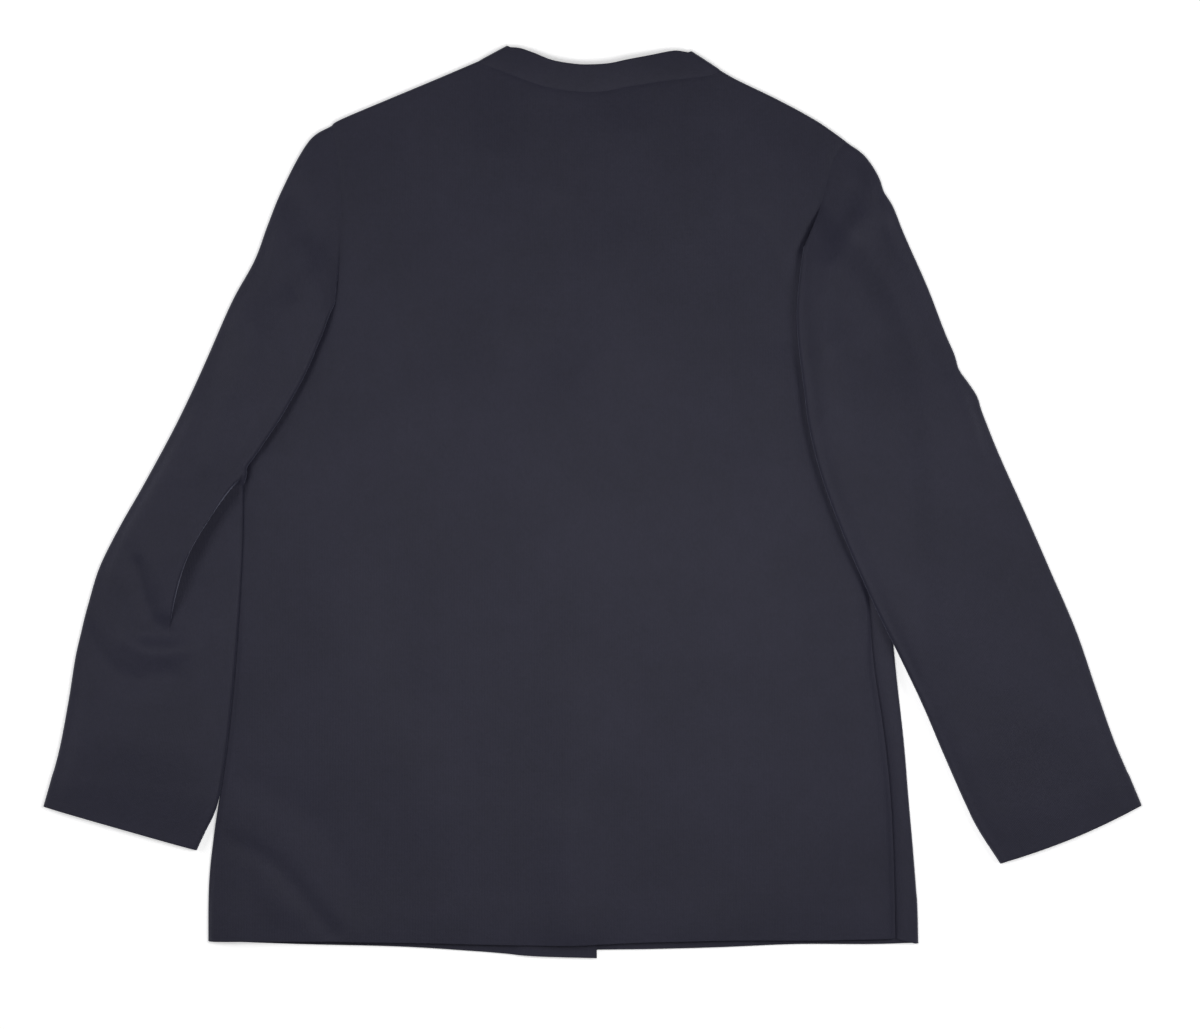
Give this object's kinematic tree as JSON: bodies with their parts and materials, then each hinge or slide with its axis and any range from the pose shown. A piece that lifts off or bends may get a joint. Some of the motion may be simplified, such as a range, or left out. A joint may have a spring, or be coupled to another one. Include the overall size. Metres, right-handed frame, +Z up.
{
  "type": "double-knit jacket laid flat",
  "caption": "Hip-length double-knit jacket with a stand collar and set-in sleeves, laid flat on its lapped fronts with its back up.",
  "frame": {"origin": "on the surface the jacket lies on, below the middle of its outline", "axes": "+X towards the wearer's right sleeve, +Y towards the collar, +Z up through the back"},
  "size_m": [0.878, 0.7321, 0.0138],
  "materials": {
    "double_knit": "dark navy wool double knit, matt with a soft short nap"
  },
  "bodies": {
    "root": {"back": "double_knit", "front_left": "double_knit", "front_right": "double_knit", "sleeve_left": "double_knit", "sleeve_right": "double_knit", "collar": "double_knit"}
  },
  "joints": []
}
